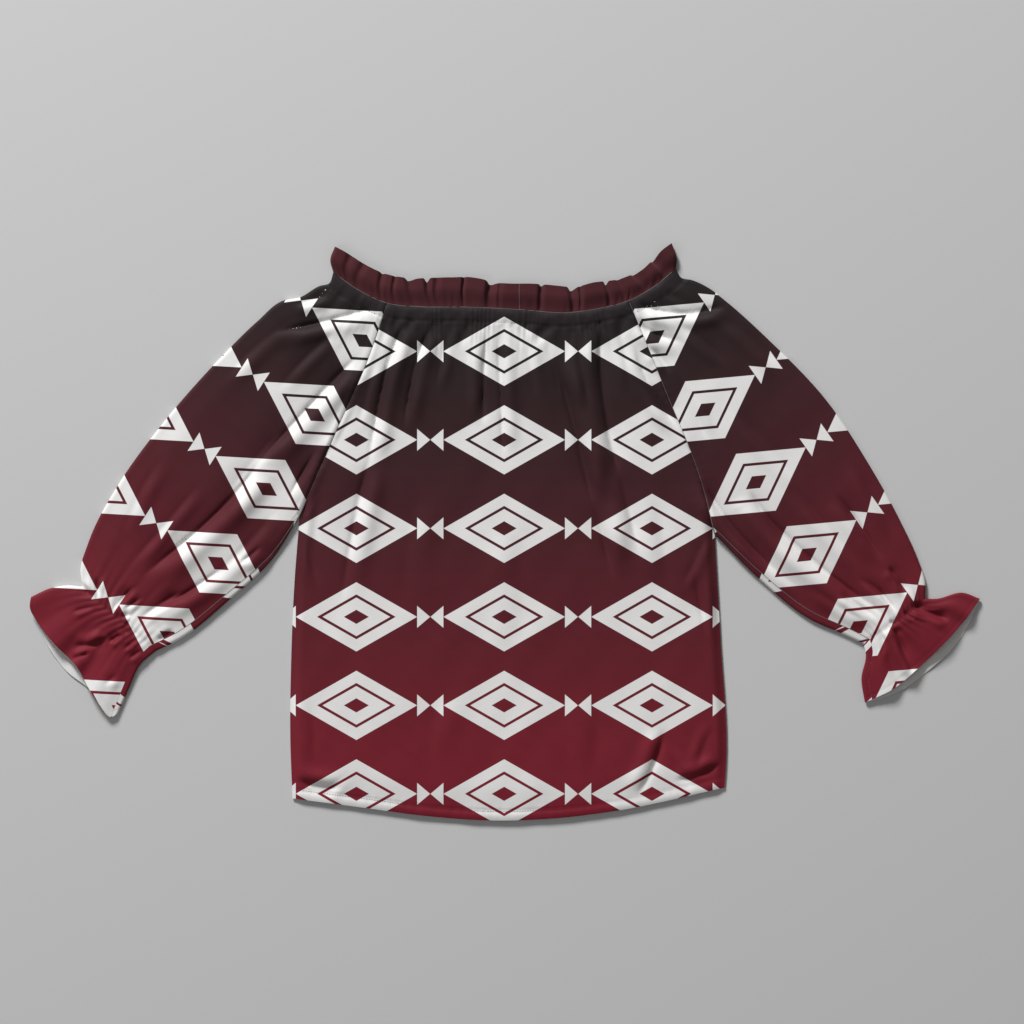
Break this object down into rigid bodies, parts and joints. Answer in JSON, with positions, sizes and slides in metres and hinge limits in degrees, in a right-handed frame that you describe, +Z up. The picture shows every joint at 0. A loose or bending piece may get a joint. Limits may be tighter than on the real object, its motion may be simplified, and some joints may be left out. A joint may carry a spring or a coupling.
{
  "type": "off-shoulder blouse, laid flat",
  "caption": "Off-shoulder blouse with raglan sleeves, gathered neck ruffle and flounced cuffs, laid flat on its back with soft creases.",
  "frame": {"origin": "middle of the laid blouse's outline, on the surface it lies on", "axes": "+X from the sleeve at the picture's left to the sleeve at its right, +Y from hem to neck, +Z up from the surface"},
  "size_m": [1.1061, 0.6722, 0.01],
  "materials": {
    "printed_cloth": null,
    "plain_cloth": "matt plain dark maroon crepe"
  },
  "bodies": {
    "root": {"front_panel": "printed_cloth", "back_panel": "printed_cloth", "sleeve_left": "printed_cloth", "sleeve_right": "printed_cloth", "neck_ruffle": "plain_cloth"}
  },
  "joints": []
}
